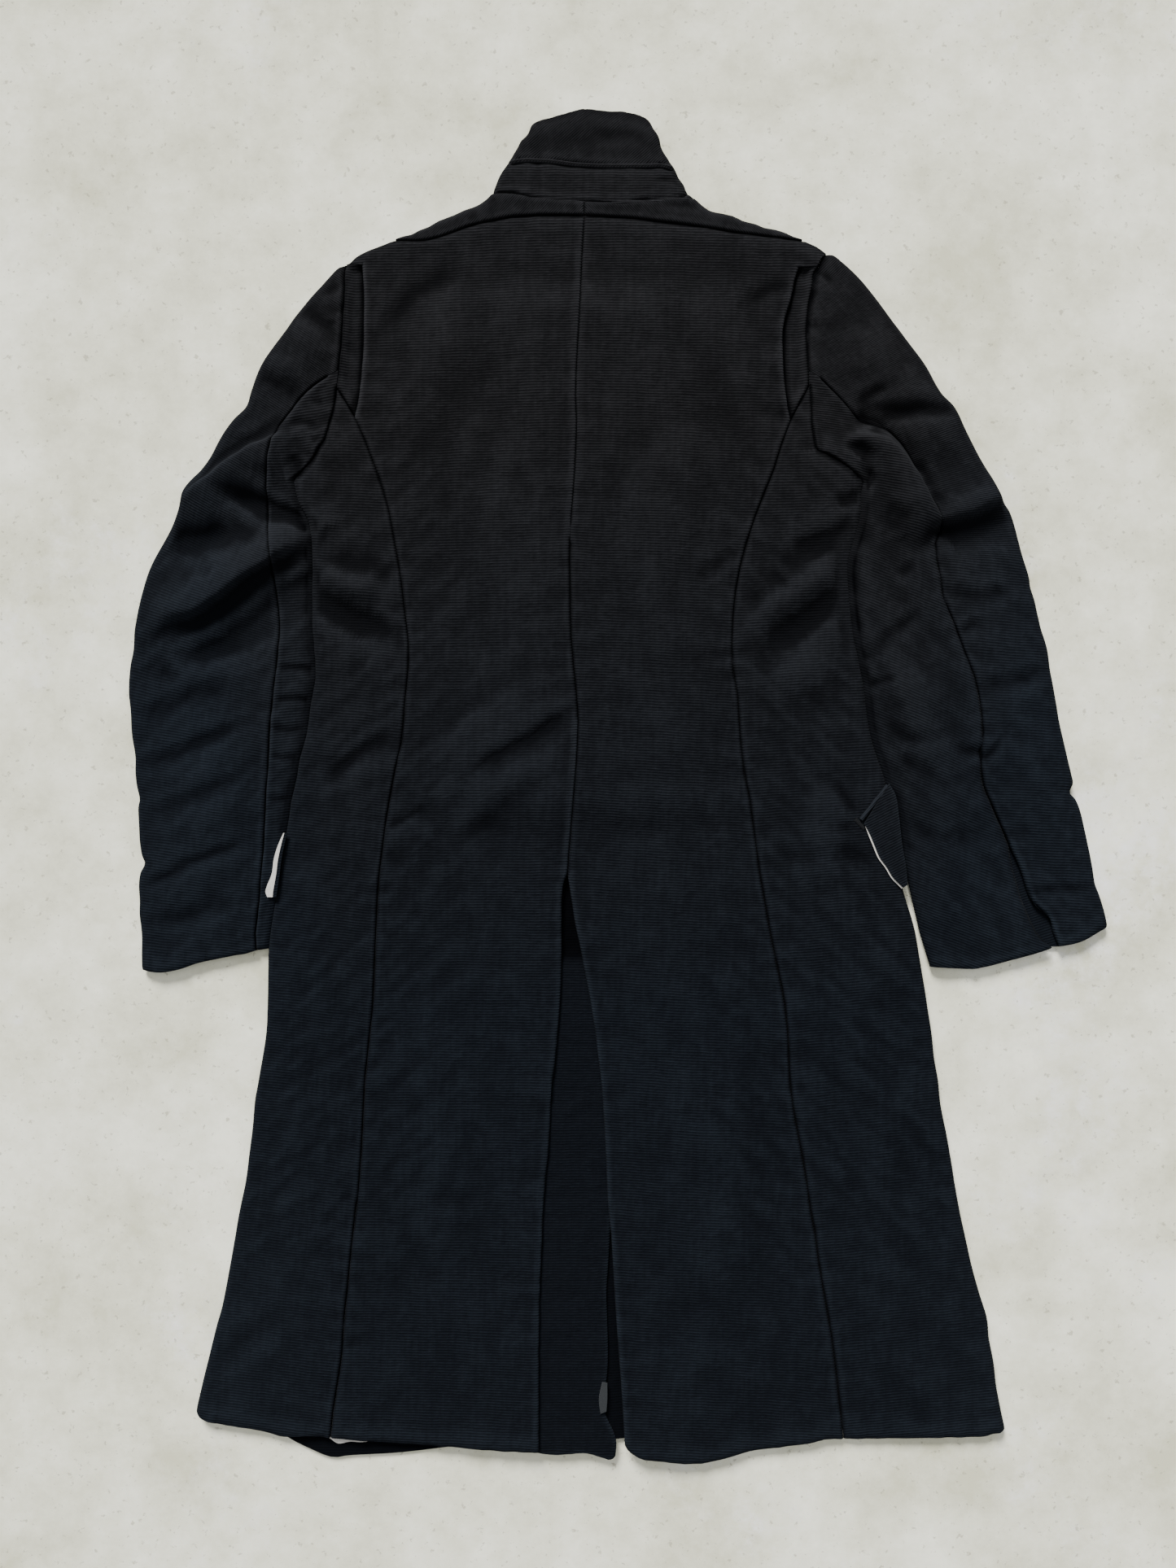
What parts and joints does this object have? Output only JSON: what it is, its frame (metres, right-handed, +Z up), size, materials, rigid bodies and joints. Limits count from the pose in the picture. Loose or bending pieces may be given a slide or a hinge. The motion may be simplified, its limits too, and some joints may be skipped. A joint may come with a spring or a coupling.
{
  "type": "long coat",
  "caption": "Knee-length black ribbed-cotton coat laid face down: seamed back with action pleats, open vent, stand collar, two-piece sleeves.",
  "frame": {"origin": "centre of the coat's box, on the surface that it lies on", "axes": "+X to the wearer's right, seen from above as the coat lies face down; +Y towards the collar; +Z up"},
  "size_m": [0.867, 1.196, 0.0227],
  "materials": {
    "black_cloth": "garment-washed black ribbed cotton, matte",
    "pale_lining": "plain pale cotton lining, matte",
    "grey_lining": "plain grey lining, matte",
    "button": "plain black four-hole button"
  },
  "bodies": {
    "root": {"back_left": "black_cloth", "back_right": "black_cloth", "side_left": "black_cloth", "side_right": "black_cloth", "front_left": "black_cloth", "front_right": "black_cloth", "yoke_left": "black_cloth", "yoke_right": "black_cloth", "collar_stand": "black_cloth", "collar_fall": "black_cloth", "collar_welt": "black_cloth", "pleat_left": "black_cloth", "pleat_right": "black_cloth", "vent_underlay": "black_cloth", "top_sleeve_left": "black_cloth", "under_sleeve_left": "black_cloth", "top_sleeve_right": "black_cloth", "under_sleeve_right": "black_cloth", "cuff_facing_right": "black_cloth", "pocket_welt_right": "black_cloth", "pocket_flap_right": "black_cloth", "pocket_flap_left": "black_cloth", "pocket_flap_lining_right": "pale_lining", "pocket_flap_lining_left": "pale_lining", "hem_lining": "pale_lining", "vent_lining": "grey_lining", "button_1": "button", "button_2": "button", "button_3": "button", "button_4": "button", "button_5": "button"}
  },
  "joints": []
}
